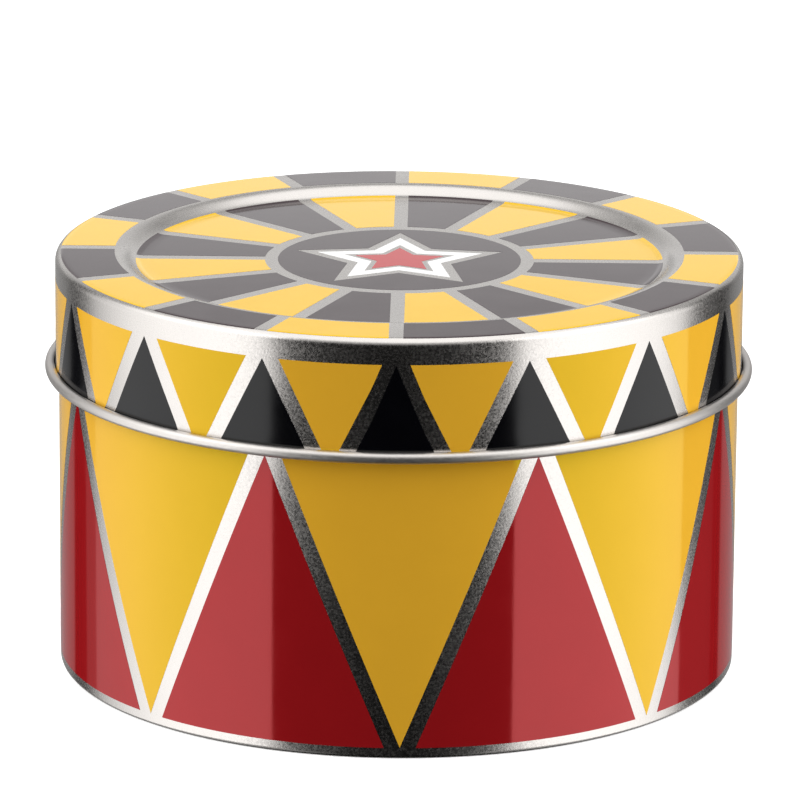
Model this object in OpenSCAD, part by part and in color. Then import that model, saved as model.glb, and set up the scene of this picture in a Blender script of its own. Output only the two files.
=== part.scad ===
// Round lift-off lid tin: rolled body wall, clinched base end and drawn cap lid.
// Origin at the centre of the standing face, +Z up, the body's side seam at +Y.

/* [Tin] */
// Outside diameter of the lid skirt
lid_d = 154; // [130:1:180]
// Height of the closed tin, from the standing face to the lid's rim
tin_h = 94.2; // [70:0.2:130]
// Thickness of the tinplate sheet
sheet = 0.28; // [0.22:0.01:0.32]

/* [Lid] */
// Height of the skirt above the centre of its rolled edge
skirt_h = 26; // [18:0.5:36]
// Outside radius of the corner between the lid's top and its skirt
corner_r = 1.85; // [1.6:0.05:2.6]
// Outside radius of the roll round the skirt's lower edge
roll_r = 1.25; // [1:0.05:1.5]
// How far the skirt flares before it turns into the roll
flare = 0.2; // [0.1:0.05:0.4]
// Diameter at which the top starts to step down to the centre panel
step_d = 127.2; // [110:0.2:140]
// Depth of the centre panel below the rim
step_drop = 2.15; // [1.2:0.05:2.6]
// Radial width of the S-shaped step
step_run = 6.1; // [5.2:0.1:7]

/* [Body] */
// Gap all round between the body wall and the inside of the skirt
skirt_gap = 0.42; // [0.35:0.01:0.6]
// Gap between the body's mouth and the underside of the lid's rim
rest_gap = 0.32; // [0.3:0.01:0.5]
// Outside radius of the inward roll at the mouth
mouth_r = 1.2; // [1:0.05:1.3]
// Width of the folded strip of the side seam
seam_w = 4; // [3:0.5:6]

/* [Base] */
// Outside radius of the corner at the foot of the wall
foot_r = 0.95; // [0.8:0.05:1.2]
// Radial width of the folded ring that the tin stands on
foot_w = 2.6; // [2.4:0.1:4]
// Height of the fold inside the standing ring
fold_h = 2.6; // [2.2:0.1:3.5]
// Height of the base panel above the surface the tin stands on
panel_lift = 1.3; // [1:0.1:1.8]
// Rise of each of the two stepped rings of the base panel
ring_rise = 0.6; // [0.4:0.05:0.8]
// Radial width of each stepped ring's S-bend
ring_run = 2.4; // [2:0.1:3]

/* [Hidden] */
$fn = 180;

// Largest angle between two points of a bend
arc_step = 10;

lid_r = lid_d / 2;
step_r = step_d / 2;
body_r = lid_r - sheet - skirt_gap;
roll_z = tin_h - skirt_h;
flare_h = 2.2;
roll_c = lid_r - sheet + flare + roll_r;
mouth_z = tin_h - sheet - rest_gap;

fit_gap = 0.06;
foot_turn_r = 0.7;
seam_clear = 2;

rim_r = body_r - sheet - fit_gap;
rim_turn_r = 0.7;
rim_foot = 0.9;
bridge_gap = 0.15;
rim_z = fold_h + bridge_gap + sheet;
well_r = body_r - foot_w - fit_gap - sheet;
well_top_r = 0.45;
well_foot_r = 0.6;
panel_z = panel_lift + sheet;
ring_radii = [0.86 * body_r, 0.56 * body_r];

// A profile is a list of bends, joined by straight stretches of sheet. A bend has a centre, the radii
// of the sheet's two faces round it, and the angles it runs between: [centre, over, under, from, to].
function bend(r, z, over, under, from, to) = [[r, z], over, under, from, to];

// A cut edge or a plain point of the sheet, whose upper face looks along angle a
function edge(r, z, a) = bend(r, z, 0, -sheet, a, a);

// S-shaped rise of the sheet, outwards (way = 1) or inwards (way = -1), from its lower upper face
function s_rise(r, z, run, rise, way) =
    let (turn = 2 * atan(rise / run), turn_r = run / (2 * sin(turn)))
    [
        bend(r, z + turn_r, turn_r, turn_r + sheet, 270, 270 + way * turn),
        bend(r + way * run, z + rise - turn_r, turn_r, turn_r - sheet, 90 + way * turn, 90)
    ];

function bend_angles(b) =
    let (sweep = b[4] - b[3], steps = ceil(abs(sweep) / arc_step))
    steps == 0 ? [b[3]] : [for (i = [0 : steps]) b[3] + sweep * i / steps];

// Points of one face of the sheet: 1 for over, 2 for under
function face_points(path, face) =
    [for (b = path) for (a = bend_angles(b)) b[0] + b[face] * [cos(a), sin(a)]];

function reversed(points) = [for (i = [len(points) - 1 : -1 : 0]) points[i]];

module spun_sheet(path) {
    rotate_extrude() polygon(concat(face_points(path, 1), reversed(face_points(path, 2))));
}

lid_path = concat(
    [edge(0, tin_h - step_drop, 90)],
    s_rise(step_r - step_run, tin_h - step_drop, step_run, step_drop, 1),
    [
        bend(lid_r - corner_r, tin_h - corner_r, corner_r, corner_r - sheet, 90, 0),
        edge(lid_r, roll_z + flare_h, 0),
        bend(roll_c, roll_z, roll_r - sheet, roll_r, 180, 490)
    ]
);

body_path = [
    bend(body_r - mouth_r, mouth_z - mouth_r, mouth_r, mouth_r - sheet, 310, 0),
    bend(body_r - foot_r, foot_r, foot_r, foot_r - sheet, 0, -90),
    bend(body_r - foot_w + foot_turn_r, foot_turn_r, foot_turn_r, foot_turn_r - sheet, 270, 180),
    edge(body_r - foot_w, fold_h, 180)
];

base_path = concat(
    [
        edge(rim_r, rim_foot, 0),
        bend(rim_r - rim_turn_r, rim_z - rim_turn_r, rim_turn_r, rim_turn_r - sheet, 0, 90),
        bend(well_r + well_top_r, rim_z - well_top_r, well_top_r, well_top_r - sheet, 90, 180),
        bend(well_r - well_foot_r, panel_z + well_foot_r, well_foot_r, well_foot_r + sheet, 360, 270)
    ],
    s_rise(ring_radii[0], panel_z, ring_run, ring_rise, -1),
    s_rise(ring_radii[1], panel_z + ring_rise, ring_run, ring_rise, -1),
    [edge(0, panel_z + 2 * ring_rise, 90)]
);

// Folded seam inside the wall, where the two ends of the body's strip are locked together
module side_seam() {
    half_angle = asin(seam_w / 2 / body_r);
    foot = rim_z + seam_clear;
    top = mouth_z - 2 * mouth_r - seam_clear;
    rotate([0, 0, 90 - half_angle])
        rotate_extrude(angle = 2 * half_angle)
            translate([body_r - 3 * sheet, foot]) square([2.5 * sheet, top - foot]);
}

// Rolled wall with its mouth rolled inwards and its foot folded up inside the standing ring
module body_wall() {
    color("firebrick") {
        spun_sheet(body_path);
        side_seam();
    }
}

// Pressed base: rim flange held in the body's fold, well, and two rings that step up to the centre
module base_end() {
    color("silver") spun_sheet(base_path);
}

// Drawn cap: stepped top, rounded corner, straight skirt and a roll round its lower edge
module lid() {
    color("gold") spun_sheet(lid_path);
}

body_wall();
base_end();
lid();
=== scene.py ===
"""Looks of a round lithographed tin with a lift-off lid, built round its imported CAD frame.

Lengths are in millimetres until a mesh or an object is made, and in metres from there on.
The studio (floor, lights and camera) is in metres throughout.
Angles round the tin are in degrees from the front (-Y), positive towards +X.
"""
import math

import bmesh
import bpy
from mathutils import Euler, Matrix, Vector


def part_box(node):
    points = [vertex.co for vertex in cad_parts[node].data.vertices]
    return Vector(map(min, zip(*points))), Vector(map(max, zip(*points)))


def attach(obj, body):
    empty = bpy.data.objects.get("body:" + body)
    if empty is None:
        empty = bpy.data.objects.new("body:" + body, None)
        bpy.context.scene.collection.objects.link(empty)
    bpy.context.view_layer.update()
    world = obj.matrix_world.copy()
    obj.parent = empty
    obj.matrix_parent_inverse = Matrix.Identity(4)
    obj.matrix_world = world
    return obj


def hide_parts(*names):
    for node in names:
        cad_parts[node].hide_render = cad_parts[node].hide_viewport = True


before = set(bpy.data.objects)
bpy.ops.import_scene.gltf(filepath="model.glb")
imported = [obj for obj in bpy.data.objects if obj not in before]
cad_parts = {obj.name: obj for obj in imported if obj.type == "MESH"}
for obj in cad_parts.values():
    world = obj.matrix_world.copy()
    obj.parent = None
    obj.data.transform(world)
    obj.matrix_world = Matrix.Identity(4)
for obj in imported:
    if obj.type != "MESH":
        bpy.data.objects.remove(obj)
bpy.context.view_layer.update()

MM = 0.001

# ---------------------------------------------------------------- sizes taken from the frame
lid_low, lid_high = (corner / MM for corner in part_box("lid"))
wall_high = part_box("body_wall")[1] / MM
base_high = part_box("base_end")[1] / MM

SHEET = 0.28                # thickness of the tinplate
INK = 0.03                  # how far the printed layers stand proud of the bare sheet
ROLL_R = 1.25               # outside radius of the roll round the lid's edge
FLARE, FLARE_H = 0.2, 2.2   # how far, and from what height, the skirt flares before its roll
CORNER_R = 1.85             # outside radius of the lid's corner
STEP_R = 63.6               # where the lid's top starts to step down
STEP_RUN, STEP_DROP = 6.1, 2.15
MOUTH_R = 1.2               # outside radius of the roll at the body's mouth
FOOT_R, FOOT_TURN_R = 0.95, 0.7
FOOT_W, FOLD_H = 2.6, 2.6   # the folded ring that the tin stands on

tin_h = lid_high.z
top_z = tin_h - INK         # bare face of the lid's rim, under the ink
roll_z = lid_low.z + ROLL_R
lid_r = min(lid_high.x, lid_high.y) - (2 * ROLL_R - SHEET + FLARE)
body_r = min(wall_high.x, wall_high.y)
mouth_z = wall_high.z
floor_z = top_z - STEP_DROP  # bare face of the lid's centre panel

# ---------------------------------------------------------------- sheet profiles
BEND_STEP = 6               # degrees between two points of a bend
RUN_STEP = 9                # longest straight stretch between two points
ROUND = 360                 # columns of a turned piece
SHARP_FROM = 35             # degrees between two faces from which their edge is sharp
ON_AXIS = 1e-6              # radius below which a point lies on the tin's axis
GROOVE_FLOOR = 0.6          # share of a groove's half width that is pressed in


def bend(r, z, over, under, start, end):
    """A bend of the sheet: its centre, the radii of its two faces, and the angles it runs between."""
    return (r, z, over, under, start, end)


def edge(r, z, facing):
    """A plain point of the sheet, whose upper face looks along the angle `facing`."""
    return bend(r, z, 0, -SHEET, facing, facing)


def s_rise(r, z, run, rise, way):
    """S-shaped rise of the sheet, outwards (way 1) or inwards (way -1), from its lower face."""
    turn = 2 * math.degrees(math.atan(rise / run))
    turn_r = run / (2 * math.sin(math.radians(turn)))
    return [
        bend(r, z + turn_r, turn_r, turn_r + SHEET, 270, 270 + way * turn),
        bend(r + way * run, z + rise - turn_r, turn_r, turn_r - SHEET, 90 + way * turn, 90),
    ]


def sheet_points(path):
    """Pairs of points (r, z) on the two faces of the sheet, along a path of bends."""
    pairs = []
    for r, z, over, under, start, end in path:
        steps = math.ceil(abs(end - start) / BEND_STEP)
        for i in range(steps + 1):
            angle = math.radians(start + (end - start) * i / max(steps, 1))
            pair = [(r + radius * math.cos(angle), z + radius * math.sin(angle))
                    for radius in (over, under)]
            if pairs:
                pairs += between(pairs[-1], pair)
            pairs.append(pair)
    return pairs


def between(a, b):
    """Extra pairs of points that divide a long straight stretch."""
    pieces = math.ceil(math.dist(a[0], b[0]) / RUN_STEP)
    return [[tuple(Vector(a[face]).lerp(Vector(b[face]), i / pieces)) for face in (0, 1)]
            for i in range(1, pieces)]


# ---------------------------------------------------------------- meshes
def place(r, z, degrees):
    """The point at radius r and height z, at an angle round the tin from the front."""
    angle = math.radians(degrees)
    return (r * math.sin(angle) * MM, -r * math.cos(angle) * MM, z * MM)


def make_object(name, points, faces, material):
    """A mesh object with merged points, outward faces and sharp edges where it really turns."""
    mesh = bpy.data.meshes.new(name)
    mesh.from_pydata(points, [], faces)
    work = bmesh.new()
    work.from_mesh(mesh)
    bmesh.ops.remove_doubles(work, verts=work.verts, dist=1e-7)
    bmesh.ops.dissolve_degenerate(work, edges=work.edges, dist=1e-8)
    bmesh.ops.recalc_face_normals(work, faces=work.faces)
    work.to_mesh(mesh)
    work.free()
    mesh.shade_smooth()
    mesh.set_sharp_from_angle(angle=math.radians(SHARP_FROM))
    mesh.materials.append(material)
    piece = bpy.data.objects.new(name, mesh)
    bpy.context.collection.objects.link(piece)
    return piece


def pressed_in(groove, angle, z):
    """How far a groove presses a sheet's upper face in, at an angle and a height."""
    if not groove or not groove["low"] < z < groove["high"]:
        return 0
    near = abs(angle - groove["at"]) <= GROOVE_FLOOR * groove["half"]
    return groove["depth"] if near else 0


def turned_faces(loop, count):
    """Faces between `count` columns of points, each a closed loop of (r, z) round the section."""
    faces = []
    for c in range(count):
        here, there = c * len(loop), (c + 1) % count * len(loop)
        for i in range(len(loop)):
            j = (i + 1) % len(loop)
            if max(loop[i][0], loop[j][0]) > ON_AXIS:
                faces.append([here + i, there + i, there + j, here + j])
    return faces


def spun_sheet(name, path, material, groove=None):
    """The sheet that a path of bends turns round the tin's axis. A groove (angle, half width in
    degrees, depth, lowest and highest z) presses its upper face in along a vertical line."""
    pairs = sheet_points(path)
    loop = [pair[0] for pair in pairs] + [pair[1] for pair in reversed(pairs)]
    columns = [360 * i / ROUND for i in range(ROUND)]
    if groove:
        columns += [groove["at"] + side * groove["half"] for side in (-1, -0.5, 0.5, 1)]
        columns.sort()
    points = []
    for angle in columns:
        for i, (r, z) in enumerate(loop):
            depth = pressed_in(groove, angle, z) if i < len(pairs) else 0
            points.append(place(max(r - depth, 0), z, angle))
    return make_object(name, points, turned_faces(loop, len(columns)), material)


def rework(piece, material, is_worked):
    """Give a second material to the places (r, z) that the press has stretched."""
    piece.data.materials.append(material)
    for face in piece.data.polygons:
        x, y, z = face.center / MM
        if is_worked(math.hypot(x, y), z):
            face.material_index = 1


def skin(rows, columns, low, high, outer=INK, inner=-SHEET / 4):
    """Points and faces of a closed skin along a sheet, such as one printed area.

    rows are (r, z, facing) along the sheet's bare face. low and high give the skin's two angles
    at a row, outer and inner its two faces' heights above the bare face.
    """
    points = []
    for lift in (outer, inner):
        for row, (r, z, facing) in enumerate(rows):
            out_r = r + lift * math.cos(math.radians(facing))
            out_z = z + lift * math.sin(math.radians(facing))
            a, b = low(row), high(row)
            points += [place(out_r, out_z, a + (b - a) * c / columns) for c in range(columns + 1)]
    wide, layer = columns + 1, len(rows) * (columns + 1)
    faces = []
    for row in range(len(rows) - 1):
        for c in range(columns):
            i = row * wide + c
            faces.append([i, i + 1, i + wide + 1, i + wide])
            faces.append([layer + i, layer + i + wide, layer + i + wide + 1, layer + i + 1])
    last = len(rows) - 1
    rim = [(row * wide + c, row * wide + c + 1) for row in (0, last) for c in range(columns)]
    rim += [(row * wide + c, (row + 1) * wide + c) for c in (0, columns) for row in range(last)]
    faces += [[a, b, layer + b, layer + a] for a, b in rim]
    return points, faces


def join_patches(name, patches, material):
    """One object from the printed areas of one colour."""
    points, faces = [], []
    for patch_points, patch_faces in patches:
        faces += [[i + len(points) for i in face] for face in patch_faces]
        points += patch_points
    return make_object(name, points, faces, material)


# ---------------------------------------------------------------- materials
class Nodes:
    """A small helper that adds and links the nodes of one tree."""

    def __init__(self, tree):
        self.tree = tree

    def add(self, kind, **inputs):
        node = self.tree.nodes.new(kind)
        for key, value in inputs.items():
            self.give(node.inputs[key.replace("_", " ")], value)
        return node

    def give(self, socket, value):
        """Link a socket to another, or set its own value."""
        if isinstance(value, bpy.types.NodeSocket):
            self.tree.links.new(value, socket)
        else:
            socket.default_value = value

    def span(self, value, low, high, from_low=0.3, from_high=0.7):
        """value, spread from its range (by default that of noise) to low..high."""
        node = self.add("ShaderNodeMapRange", Value=value, From_Min=from_low, From_Max=from_high,
                        To_Min=low, To_Max=high)
        return node.outputs["Result"]

    def combine(self, operation, a, b):
        node = self.add("ShaderNodeMath")
        node.operation = operation
        self.give(node.inputs[0], a)
        self.give(node.inputs[1], b)
        return node.outputs["Value"]

    def ramp(self, value, start, end, stops):
        """Grey stops (position, level) along a value that runs from start to end."""
        node = self.add("ShaderNodeValToRGB", Fac=self.span(value, 0, 1, start, end))
        elements = node.color_ramp.elements
        while len(elements) < len(stops):
            elements.new(0.5)
        for element, (position, level) in zip(elements, stops):
            element.position = position
            element.color = (level, level, level, 1)
        return node.outputs["Color"]


class MaterialNodes(Nodes):
    """The nodes of one new material, with patterns that are set out on the object."""

    def __init__(self, name):
        self.material = bpy.data.materials.new(name)
        self.material.use_nodes = True
        super().__init__(self.material.node_tree)
        self.shader = self.tree.nodes["Principled BSDF"]
        self.place = self.add("ShaderNodeTexCoord").outputs["Object"]

    def noise(self, size, detail=2.0, roughness=0.5):
        """Noise whose features are about `size` millimetres across."""
        node = self.add("ShaderNodeTexNoise", Vector=self.place, Scale=1 / (size * MM),
                        Detail=detail, Roughness=roughness)
        return node.outputs["Fac"]

    def mix(self, factor, a, b):
        node = self.tree.nodes.new("ShaderNodeMix")
        node.data_type = "RGBA"
        self.give(node.inputs["Factor"], factor)
        self.give(node.inputs[6], (*a, 1))
        self.give(node.inputs[7], (*b, 1))
        return node.outputs[2]

    def bump(self, height, depth, under=None):
        """Bump of `depth` millimetres."""
        node = self.add("ShaderNodeBump", Height=height, Distance=depth * MM)
        if under is not None:
            self.give(node.inputs["Normal"], under)
        return node.outputs["Normal"]


TIN_TONE = (0.65, 0.621, 0.595)
ROUGH_DRIFT = 0.015         # how far roughness wanders across a surface


def shaded(colour, factor):
    return tuple(c * factor for c in colour)


def tinplate_material(name, roughness, speckle):
    """Bare tinplate: a soft metallic sheen, broken up by the sandy grain of its matt finish."""
    n = MaterialNodes(name)
    grain = n.noise(0.5, detail=1.5, roughness=0.5)
    cloud = n.noise(14, detail=3)
    tone = n.mix(n.span(cloud, 0, 1), shaded(TIN_TONE, 0.98), shaded(TIN_TONE, 1.02))
    n.give(n.shader.inputs["Base Color"], tone)
    n.shader.inputs["Metallic"].default_value = 1
    spread = n.span(cloud, roughness - ROUGH_DRIFT, roughness + ROUGH_DRIFT)
    sandy = n.combine("ADD", n.span(grain, -speckle, speckle), spread)
    n.give(n.shader.inputs["Roughness"], sandy)
    n.give(n.shader.inputs["Normal"], n.bump(grain, 0.012))
    return n.material


def ink_material(name, colour, shade, through=0.0, gloss=0.07, specular=0.5, sheen=(1, 1, 1)):
    """Printed ink under varnish: even colour with a faint print grain, and a wet gloss. through is
    the share of the light that reaches the metal under the ink and comes back coloured. sheen tints
    what the gloss reflects: it is fitted, and a clear varnish would not do it."""
    n = MaterialNodes(name)
    blotch = n.noise(9, detail=3)
    grain = n.noise(0.3, detail=2)
    patches = n.combine("ADD", n.span(blotch, 0, 0.7), n.span(grain, 0, 0.3))
    n.give(n.shader.inputs["Base Color"], n.mix(patches, shaded(colour, shade), colour))
    uneven = n.span(blotch, gloss - ROUGH_DRIFT, gloss + ROUGH_DRIFT)
    n.give(n.shader.inputs["Roughness"], n.combine("ADD", uneven, n.span(grain, -0.01, 0.01)))
    n.shader.inputs["Metallic"].default_value = through
    n.shader.inputs["Specular IOR Level"].default_value = specular
    n.shader.inputs["Specular Tint"].default_value = (*sheen, 1)
    n.give(n.shader.inputs["Normal"], n.bump(grain, 0.0008, n.bump(n.noise(3.5), 0.0012)))
    return n.material


tinplate = tinplate_material("bare_tinplate", 0.25, 0.055)
rolled_tinplate = tinplate_material("rolled_tinplate", 0.4, 0.05)
red_ink = ink_material("red_ink", (0.368, 0.0095, 0.0125), 0.95, through=0.29, specular=0.5)
yellow_ink = ink_material("yellow_ink", (0.765, 0.405, 0.027), 0.97, through=0.03, specular=0.75,
                          sheen=(0.6, 1, 0))
black_ink = ink_material("black_ink", (0.002, 0.002, 0.003), 0.6, gloss=0.13, specular=0.36)
# the top's yellow is the skirt's yellow ink again, with a lighter base colour where it faces the
# overhead light: painted light
top_yellow_ink_painted_light = ink_material("top_yellow_ink_painted_light", (0.825, 0.495, 0.002), 0.97, specular=0.43)
# the top's black is the skirt's black ink again, with a lighter mauve grey base colour: painted
# reflection of the overhead light
top_black_ink_painted_reflection = ink_material("top_black_ink_painted_reflection", (0.036, 0.018, 0.022), 0.9)
star_red_ink = ink_material("star_red_ink", (0.52, 0.015, 0.022), 0.95, through=0.15)
star_white_ink = ink_material("star_white_ink", (0.9, 0.9, 0.89), 0.98)

# ---------------------------------------------------------------- tin sheets
SEAM_AT = 180               # the body's side seam is at the back
SEAM_HALF = 0.22            # half width of its groove, in degrees

lid_path = [
    edge(0, floor_z, 90),
    *s_rise(STEP_R - STEP_RUN, floor_z, STEP_RUN, STEP_DROP, 1),
    bend(lid_r - CORNER_R, top_z - CORNER_R, CORNER_R, CORNER_R - SHEET, 90, 0),
    edge(lid_r, roll_z + FLARE_H, 0),
    bend(lid_r - SHEET + FLARE + ROLL_R, roll_z, ROLL_R - SHEET, ROLL_R, 180, 490),
]

wall_path = [
    bend(body_r - MOUTH_R, mouth_z - MOUTH_R, MOUTH_R, MOUTH_R - SHEET, 310, 0),
    bend(body_r - FOOT_R, FOOT_R, FOOT_R, FOOT_R - SHEET, 0, -90),
    bend(body_r - FOOT_W + FOOT_TURN_R, FOOT_TURN_R, FOOT_TURN_R, FOOT_TURN_R - SHEET, 270, 180),
    edge(body_r - FOOT_W, FOLD_H, 180),
]

RIM_FOOT, RIM_TURN_R = 0.9, 0.7
WELL_TOP_R, WELL_FOOT_R = 0.45, 0.6
RING_RISE, RING_RUN = 0.6, 2.4
RING_RADII = (0.86, 0.56)   # where the base's rings start, as shares of the body's radius
FIT_GAP = 0.06              # between the layers of the folded foot
PANEL_LIFT = 1.3            # height of the base panel's underside
rim_r = base_high.x
rim_z = base_high.z
well_r = body_r - FOOT_W - SHEET - FIT_GAP
panel_z = PANEL_LIFT + SHEET

base_path = [
    edge(rim_r, RIM_FOOT, 0),
    bend(rim_r - RIM_TURN_R, rim_z - RIM_TURN_R, RIM_TURN_R, RIM_TURN_R - SHEET, 0, 90),
    bend(well_r + WELL_TOP_R, rim_z - WELL_TOP_R, WELL_TOP_R, WELL_TOP_R - SHEET, 90, 180),
    bend(well_r - WELL_FOOT_R, panel_z + WELL_FOOT_R, WELL_FOOT_R, WELL_FOOT_R + SHEET, 360, 270),
    *s_rise(RING_RADII[0] * body_r, panel_z, RING_RUN, RING_RISE, -1),
    *s_rise(RING_RADII[1] * body_r, panel_z + RING_RISE, RING_RUN, RING_RISE, -1),
    edge(0, panel_z + 2 * RING_RISE, 90),
]


def on_roll(r, z):
    """Whether a place on the lid is on its rolled edge."""
    return r > lid_r + FLARE / 2 and z < roll_z + ROLL_R


lid_sheet = spun_sheet("lid_sheet", lid_path, tinplate)
rework(lid_sheet, rolled_tinplate, on_roll)
seam_groove = {
    "at": SEAM_AT, "half": SEAM_HALF, "depth": 0.1,
    "low": 3, "high": mouth_z - 2 * MOUTH_R,
}
wall_sheet = spun_sheet("body_wall_sheet", wall_path, tinplate, seam_groove)
base_panel = spun_sheet("base_panel", base_path, tinplate)

SEAM_W = 4                  # width of the folded seam inside the wall
SEAM_CLEAR = 2              # how far its ends stay clear of the base's rim and the mouth's roll
seam_half = math.degrees(math.asin(SEAM_W / 2 / body_r))
seam_low, seam_high = rim_z + SEAM_CLEAR, mouth_z - 2 * MOUTH_R - SEAM_CLEAR
SEAM_ROWS = 10
seam_rows = [(body_r, seam_low + (seam_high - seam_low) * i / SEAM_ROWS, 0)
             for i in range(SEAM_ROWS + 1)]
seam_skin = skin(seam_rows, 6, lambda row: SEAM_AT - seam_half, lambda row: SEAM_AT + seam_half,
                 -SHEET / 2, -3 * SHEET)
seam_strip = make_object("seam_strip", *seam_skin, tinplate)
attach(seam_strip, "can")

# ---------------------------------------------------------------- print on the body and the skirt
BODY_TURN = 0.65            # how far the body's print is turned from the front
LID_TURN = -0.45            # how far the lid's print is turned from the front
UPRIGHT_LEAN = 1.012        # the upright triangles are a little wider than the hanging ones
BARE_LINE = 0.45            # half width in degrees of the unprinted line along the body's seam
NEAR_SEAM = 2               # degrees from the seam within which a triangle is split by that line
TIP_HALF = 0.001            # half width in degrees of a hanging triangle's tip
TRIANGLE_COLUMNS = 44


def wall_rows(low_z, high_z, radius_at, step=1.5):
    """Rows up a wall, no more than `step` millimetres apart."""
    count = math.ceil((high_z - low_z) / step)
    heights = [low_z + (high_z - low_z) * i / count for i in range(count + 1)]
    return [(radius_at(z), z, 0) for z in heights]


def skirt_radius(z):
    """Radius of the skirt's outer face, which flares just above the roll."""
    return lid_r + FLARE * max(1 - (z - roll_z) / FLARE_H, 0)


def drifted(angle, drift):
    """The angle at which the print lies in the photograph: drift lists (angle from the front, how
    much further from the front the print lies there). It was fitted; the cause is unknown."""
    turned = (angle + 180) % 360 - 180
    for (a, drift_a), (b, drift_b) in zip(drift, drift[1:]):
        if a <= abs(turned) <= b:
            away = drift_a + (drift_b - drift_a) * (abs(turned) - a) / (b - a)
            return angle + away * math.copysign(1, turned)
    return angle


def triangle(band, centre, widest, narrowing, low_z, high_z, split=0.0):
    """Printed areas of one triangle. Its half width in degrees is `widest` at low_z and shrinks by
    `narrowing` degrees a millimetre. A split leaves that half width bare along its middle."""
    rows = wall_rows(low_z, high_z, band["radius_at"])

    def half(row):
        return max(widest - narrowing * (rows[row][1] - low_z), split)

    def at(offset):
        return drifted(centre + offset, band["drift"])

    if not split:
        return [skin(rows, TRIANGLE_COLUMNS, lambda row: at(-half(row)), lambda row: at(half(row)))]
    columns = TRIANGLE_COLUMNS // 2
    return [
        skin(rows, columns, lambda row: at(-half(row)), lambda row: at(-split)),
        skin(rows, columns, lambda row: at(split), lambda row: at(half(row))),
    ]


def triangle_band(band, bare_line=None):
    """The upright and the hanging triangles of a band, with bare stripes between.

    The upright ones stand on `foot` and reach up to `tip`, the hanging ones reach from `top` down
    to `hang_tip`. stripe is the bare width in degrees. bare_line is an angle where the print is
    parted along a seam. Returns the patches of both kinds.
    """
    pitch = 360 / band["count"]
    foot, tip, hang_tip, top = (band[height] for height in ("foot", "tip", "hang_tip", "top"))
    slope = (pitch / 2 - band["stripe"]) / (tip - hang_tip)
    lean = UPRIGHT_LEAN * slope
    low = max(foot, hang_tip)
    widest = slope * (low - hang_tip) + TIP_HALF
    upright, hanging = [], []
    for i in range(band["count"]):
        between_tips = band["turn"] + pitch * (i + 0.5)
        upright += triangle(band, between_tips, lean * (tip - foot), lean, foot, tip)
        centre = band["turn"] + pitch * i
        parted = bare_line is not None and abs(centre - bare_line) < NEAR_SEAM
        split = BARE_LINE if parted else 0.0
        hanging += triangle(band, centre, widest, -slope, low, top, split)
    return upright, hanging


body_band = {
    "radius_at": lambda z: body_r, "count": 8, "turn": BODY_TURN, "stripe": 2.84,
    "foot": 2.5, "tip": 66.7, "hang_tip": 2.6, "top": roll_z + 1.6,
    "drift": [(0, 0), (36, 0.22), (60, 1.0), (77, 1.65), (100, 1.6), (180, 0)],
}
skirt_band = {
    "radius_at": skirt_radius, "count": 16, "turn": LID_TURN - 11.25, "stripe": 2.8,
    "foot": roll_z + 0.6, "tip": 88.3, "hang_tip": 65.3, "top": 88.5,
    "drift": [
        (0, 0), (5, -0.85), (17, -0.87), (30, -0.5), (40, -0.27),
        (58, 1.05), (65, 1.4), (90, 1.5), (180, 0),
    ],
}
body_red, body_yellow = triangle_band(body_band, SEAM_AT)
skirt_black, skirt_yellow = triangle_band(skirt_band)

# ---------------------------------------------------------------- print on the lid's top
SEGMENTS = 16
TOP_STRIPE = 3.1            # width of the bare stripes
RIM_FROM, RIM_TO = 63.7, 75.75      # radii of the segments on the rim
PANEL_FROM, PANEL_TO = 30.1, 59.0   # radii of the segments on the panel
ROUNDEL_R = 27.2
FLAT_ROWS, BEND_ROWS = 12, 6
SEGMENT_COLUMNS = 22


def top_rows(from_r, to_r, flat_z, bend_r, centre_z, radius, way):
    """Rows across a flat stretch and on into the bend that starts at bend_r, whose centre is at
    centre_z. way is 1 where the bend turns down and -1 where it turns up."""
    flat = [(from_r + (bend_r - from_r) * i / FLAT_ROWS, flat_z, 90) for i in range(FLAT_ROWS + 1)]
    last = math.degrees(math.asin((to_r - bend_r) / radius))
    turned = []
    for i in range(1, BEND_ROWS + 1):
        angle = math.radians(last * i / BEND_ROWS)
        z = centre_z + way * radius * math.cos(angle)
        turned.append((bend_r + radius * math.sin(angle), z, 90 - way * last * i / BEND_ROWS))
    return flat + turned


def segments(rows, first):
    """The printed areas of every other segment, counted from `first`, on the rows given."""
    pitch = 360 / SEGMENTS

    def inset(row):
        return math.degrees(math.asin(TOP_STRIPE / 2 / rows[row][0]))

    def segment(low):
        return skin(rows, SEGMENT_COLUMNS, lambda row: low + inset(row),
                    lambda row: low + pitch - inset(row))

    return [segment(LID_TURN + pitch * i) for i in range(first, SEGMENTS, 2)]


corner_at, corner_z = lid_r - CORNER_R, top_z - CORNER_R
rim_rows = top_rows(RIM_FROM, RIM_TO, top_z, corner_at, corner_z, CORNER_R, 1)
step_at, step_z, step_turn_r = lid_path[1][:3]
panel_rows = top_rows(PANEL_FROM, PANEL_TO, floor_z, step_at, step_z, step_turn_r, -1)
top_black = segments(rim_rows, 0) + segments(panel_rows, 1)
top_yellow = segments(rim_rows, 1) + segments(panel_rows, 0)

# ---------------------------------------------------------------- roundel with a plain star
STAR_POINTS = 5
STAR_NOTCH = 0.5            # radius of the notches over that of the points
WHITE_STAR, RED_STAR = 19.4, 10.4   # radii of their points
STAR_LINE, RED_LINE = 2.2, 1.2      # bare lines round the white star and the red one
STAR_HUB = 0.01             # inner radius of ink that reaches the centre


def star_radius(tip, degrees):
    """Distance from the centre to the outline of a star with straight sides."""
    half = 180 / STAR_POINTS
    a = abs((degrees + half) % (2 * half) - half)
    notch = tip * STAR_NOTCH
    rise = tip * math.sin(math.radians(a)) + notch * math.sin(math.radians(half - a))
    return tip * notch * math.sin(math.radians(half)) / rise


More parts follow.
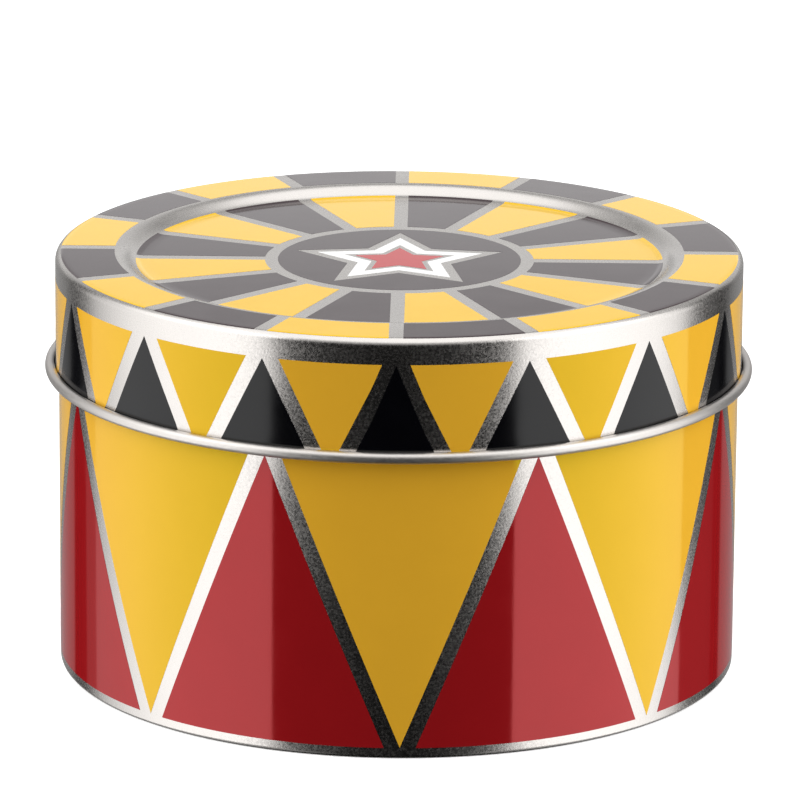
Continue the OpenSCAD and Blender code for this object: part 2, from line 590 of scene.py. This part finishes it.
def grown(tip, width):
    """The point radius of a star whose sides lie `width` outside those of the star given."""
    notch = tip * STAR_NOTCH
    half = math.radians(180 / STAR_POINTS)
    side = math.sqrt(tip**2 + notch**2 - 2 * tip * notch * math.cos(half))
    apothem = tip * notch * math.sin(half) / side
    return tip * (apothem + width) / apothem


def flat_ink(inner, outer, rings=4, columns=360):
    """Points and faces of a flat printed area between two outlines round the panel's centre."""
    points, faces = [], []
    for z in (floor_z + INK, floor_z - SHEET / 4):
        for ring in range(rings + 1):
            for c in range(columns):
                angle = 360 * c / columns
                r = inner(angle) + (outer(angle) - inner(angle)) * ring / rings
                points.append(place(r, z, LID_TURN + 180 + angle))
    layer = (rings + 1) * columns
    for c in range(columns):
        d = (c + 1) % columns
        for ring in range(rings):
            a, b = ring * columns, (ring + 1) * columns
            faces.append([a + c, a + d, b + d, b + c])
            faces.append([layer + a + c, layer + b + c, layer + b + d, layer + a + d])
        for ring in (0, rings):
            a = ring * columns
            faces.append([a + c, a + d, layer + a + d, layer + a + c])
    return points, faces


roundel = flat_ink(lambda a: star_radius(grown(WHITE_STAR, STAR_LINE), a), lambda a: ROUNDEL_R)
white_star = flat_ink(lambda a: star_radius(grown(RED_STAR, RED_LINE), a),
                      lambda a: star_radius(WHITE_STAR, a))
red_star = flat_ink(lambda a: STAR_HUB, lambda a: star_radius(RED_STAR, a))

printed = [
    ("body_ink_red", body_red, red_ink, "can", "body_print"),
    ("body_ink_yellow", body_yellow, yellow_ink, "can", "body_print"),
    ("skirt_ink_black", skirt_black, black_ink, "lid", "lid_print"),
    ("skirt_ink_yellow", skirt_yellow, yellow_ink, "lid", "lid_print"),
    ("top_ink_black", top_black + [roundel], top_black_ink_painted_reflection, "lid", "lid_print"),
    ("top_ink_yellow", top_yellow, top_yellow_ink_painted_light, "lid", "lid_print"),
    ("star_ink_white", [white_star], star_white_ink, "lid", "lid_print"),
    ("star_ink_red", [red_star], star_red_ink, "lid", "lid_print"),
]
for name, patches, material, body, slot in printed:
    piece = join_patches(name, patches, material)
    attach(piece, body)

sheets = [
    (wall_sheet, "can", "body_wall"),
    (base_panel, "can", "base_end"),
    (lid_sheet, "lid", "lid"),
]
for piece, body, node in sheets:
    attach(piece, body)
    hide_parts(node)

# ---------------------------------------------------------------- studio
FLOOR_HALF = 4
FLOOR_GLOW = 0.35           # the floor's own light, which keeps it pale
SOFTBOX_X, SOFTBOX_Z, SOFTBOX_H = 0.6, 0.25, 1.3
DIFFUSE_FILL = 0.04
BASE_GLOW = 0.003           # a trace of light from every side

# (y, radiance) along each softbox, from its near edge to its far one
LEFT_FALLOFF = [
    (-0.7, 1.33), (-0.35, 1.28), (-0.1, 1.18), (0.03, 1.03),
    (0.15, 0.78), (0.322, 0.5), (0.323, 0.17), (0.439, 0.12),
]
RIGHT_FALLOFF = [
    (-0.768, 1.36), (-0.3, 1.3), (-0.06, 1.22), (0.05, 1.08),
    (0.12, 0.9), (0.174, 0.75), (0.175, 0.07), (0.5, 0.03),
]

# (position, level) over one part of the direction, which runs from -1 at position 0 to 1 at 1
BACKDROP = [(0.881, 0.0), (0.885, 0.65), (0.935, 0.8), (0.975, 1.0)]
LOW = [
    (0.4, 0.45), (0.56, 0.6), (0.6167, 1.5), (0.6231, 1.02),
    (0.6299, 0.74), (0.66, 0.9), (0.70, 0.8), (0.75, 0.0),
]
OVERHEAD = [(0.66, 0.0), (0.71, 0.3), (0.78, 0.5), (0.86, 0.8), (0.915, 1.85)]
BELOW = [(0.22, 1.0), (0.31, 0.0)]
BESIDE = [(0.2, 0.6), (0.36, 0.0), (0.64, 0.0), (0.8, 0.6)]
SIDES = [(0.075, 1.5), (0.15, DIFFUSE_FILL), (0.85, DIFFUSE_FILL), (0.925, 1.5)]


def pale_floor():
    """A pale floor that only the camera sees: no reflection, bounce or shadow comes from it."""
    mesh = bpy.data.meshes.new("studio_floor")
    corners = [(x * FLOOR_HALF, y * FLOOR_HALF, 0) for x, y in ((-1, -1), (1, -1), (1, 1), (-1, 1))]
    mesh.from_pydata(corners, [], [[0, 1, 2, 3]])
    floor = bpy.data.objects.new("studio_floor", mesh)
    bpy.context.collection.objects.link(floor)
    n = MaterialNodes("pale_floor")
    n.give(n.shader.inputs["Base Color"], n.mix(n.noise(400), (0.9, 0.9, 0.9), (0.92, 0.92, 0.92)))
    n.shader.inputs["Roughness"].default_value = 1
    n.shader.inputs["Specular IOR Level"].default_value = 0
    n.shader.inputs["Emission Color"].default_value = (1, 1, 1, 1)
    n.shader.inputs["Emission Strength"].default_value = FLOOR_GLOW
    mesh.materials.append(n.material)
    floor.visible_glossy = False
    floor.visible_diffuse = False
    floor.visible_shadow = False


def softbox(name, side, falloff):
    """A tall area light at one side, which shows in reflections but not to the camera."""
    near, far = falloff[0][0], falloff[-1][0]
    light = bpy.data.lights.new(name, "AREA")
    light.shape = "RECTANGLE"
    light.size, light.size_y = far - near, SOFTBOX_H
    light.energy = 4 * (far - near) * SOFTBOX_H
    light.use_nodes = True
    n = Nodes(light.node_tree)
    place_lit = n.add("ShaderNodeNewGeometry").outputs["Position"]
    axes = n.add("ShaderNodeSeparateXYZ", Vector=place_lit)
    stops = [((y - near) / (far - near), radiance) for y, radiance in falloff]
    levels = n.ramp(axes.outputs["Y"], near, far, stops)
    n.give(n.tree.nodes["Emission"].inputs["Color"], levels)
    lamp = bpy.data.objects.new(name, light)
    lamp.location = (side * SOFTBOX_X, (near + far) / 2, SOFTBOX_Z)
    lamp.rotation_euler = Vector((-side, 0, 0)).to_track_quat("-Z", "Y").to_euler()
    lamp.visible_camera = False
    bpy.context.collection.objects.link(lamp)


def studio_world():
    """White backdrop behind the tin and dark in front. Some terms are for one kind of ray only: a
    bounce from below for reflections, a fill from the sides for matt surfaces, white for the camera."""
    world = bpy.data.worlds.new("studio")
    bpy.context.scene.world = world
    world.use_nodes = True
    n = Nodes(world.node_tree)
    n.tree.nodes.clear()
    direction = n.add("ShaderNodeTexCoord").outputs["Generated"]
    axes = n.add("ShaderNodeSeparateXYZ", Vector=direction)
    rays = n.add("ShaderNodeLightPath")

    def ramp(axis, stops):
        return n.ramp(axes.outputs[axis], -1, 1, stops)

    behind = n.combine("MULTIPLY", ramp("Y", BACKDROP), ramp("Z", LOW))
    corners = n.combine("MULTIPLY", ramp("Z", BELOW), ramp("X", BESIDE))
    bounce = n.combine("MULTIPLY", corners, rays.outputs["Is Glossy Ray"])
    above = n.combine("ADD", ramp("Z", OVERHEAD), n.combine("ADD", bounce, BASE_GLOW))
    fill = n.combine("MULTIPLY", rays.outputs["Is Diffuse Ray"], ramp("X", SIDES))
    lit = n.combine("ADD", n.combine("ADD", behind, above), fill)
    strength = n.combine("ADD", lit, rays.outputs["Is Camera Ray"])
    shown = n.add("ShaderNodeBackground", Strength=strength)
    n.add("ShaderNodeOutputWorld", Surface=shown.outputs["Background"])


pale_floor()
studio_world()
softbox("softbox_left", -1, LEFT_FALLOFF)
softbox("softbox_right", 1, RIGHT_FALLOFF)

# ---------------------------------------------------------------- camera
FIT_UNIT = 0.077            # the camera was fitted in units of the lid's radius
CAMERA_BACK, CAMERA_UP = 17.891 * FIT_UNIT, 5.7705 * FIT_UNIT
CAMERA_PITCH = 0.27252      # how far the camera looks down; these three are in radians
CAMERA_ROLL = 0.00775
CAMERA_YAW = 0.000265
LENS, SENSOR, FAR_CLIP = 285.69, 36, 20

camera_data = bpy.data.cameras.new("camera")
camera_data.lens, camera_data.sensor_width = LENS, SENSOR
camera_data.clip_end = FAR_CLIP
camera = bpy.data.objects.new("camera", camera_data)
bpy.context.collection.objects.link(camera)
look = Euler((math.pi / 2 - CAMERA_PITCH, 0, 0)).to_matrix().to_4x4()
camera.matrix_world = (
    Matrix.Translation((0, -CAMERA_BACK, CAMERA_UP))
    @ look
    @ Matrix.Rotation(-CAMERA_YAW, 4, "Y")
    @ Matrix.Rotation(CAMERA_ROLL, 4, "Z")
)
bpy.context.scene.camera = camera
bpy.context.scene.view_settings.view_transform = "Standard"
